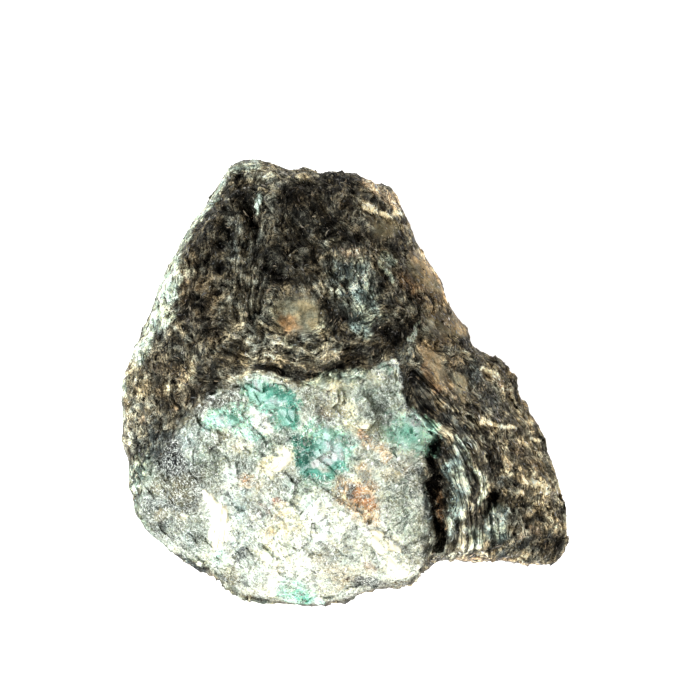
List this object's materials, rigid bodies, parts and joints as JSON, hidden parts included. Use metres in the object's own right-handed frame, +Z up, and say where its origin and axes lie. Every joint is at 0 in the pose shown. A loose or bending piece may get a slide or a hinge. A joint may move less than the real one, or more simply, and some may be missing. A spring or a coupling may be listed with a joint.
{
  "type": "raw emerald in mica schist",
  "caption": "Lump of dark mica schist with a pale pod of feldspar, quartz and green beryl in its upper face, lying on its flat underside.",
  "frame": {"origin": "middle of the bounding box in X and Y, on the surface that the lump lies on", "axes": "+Z up, out of the face that holds the pale pod; +Y towards the narrow end; +X towards the pointed foot of the right flank"},
  "size_m": [0.0518, 0.0522, 0.032],
  "materials": {
    "schist": "rough broken mica schist, near black, with fine glinting flakes and a pale granular pod",
    "mica": "thin shiny flakes, dark brown to silvery",
    "feldspar": "white to cream grains and blades, satin",
    "quartz": "grey to tan glassy grains, partly see-through",
    "emerald": "blue-green beryl, glassy and partly see-through"
  },
  "bodies": {
    "root": {"raw_emerald_stone": "schist"}
  },
  "joints": []
}
